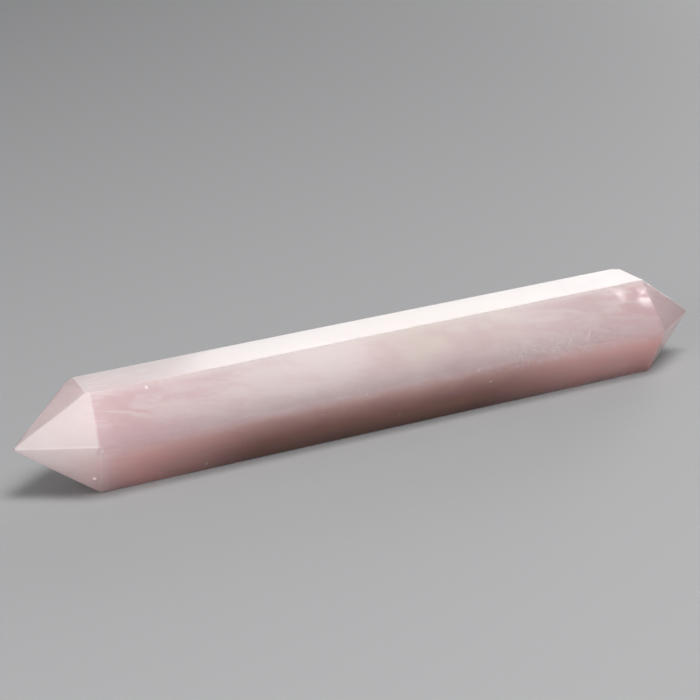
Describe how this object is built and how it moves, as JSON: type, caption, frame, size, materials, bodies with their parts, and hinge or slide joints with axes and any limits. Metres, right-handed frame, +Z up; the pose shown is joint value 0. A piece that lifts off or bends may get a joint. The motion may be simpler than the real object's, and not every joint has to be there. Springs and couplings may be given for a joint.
{
  "type": "rose quartz point",
  "caption": "Double-terminated rose quartz point: a slender hexagonal bar of polished pink stone, ground to a point at either end, lying on a long face.",
  "frame": {"origin": "on the surface that the stone lies on, under the middle of its bounding box", "axes": "+X along the stone, from the tip that is nearer in the picture to the farther one; +Z up, out of the top long face; +Y across the stone"},
  "size_m": [0.1018, 0.0148, 0.0133],
  "materials": {
    "rose_quartz": "hand polished, glossy, milky translucent pale pink"
  },
  "bodies": {
    "root": {"rose_quartz_point": "rose_quartz"}
  },
  "joints": []
}
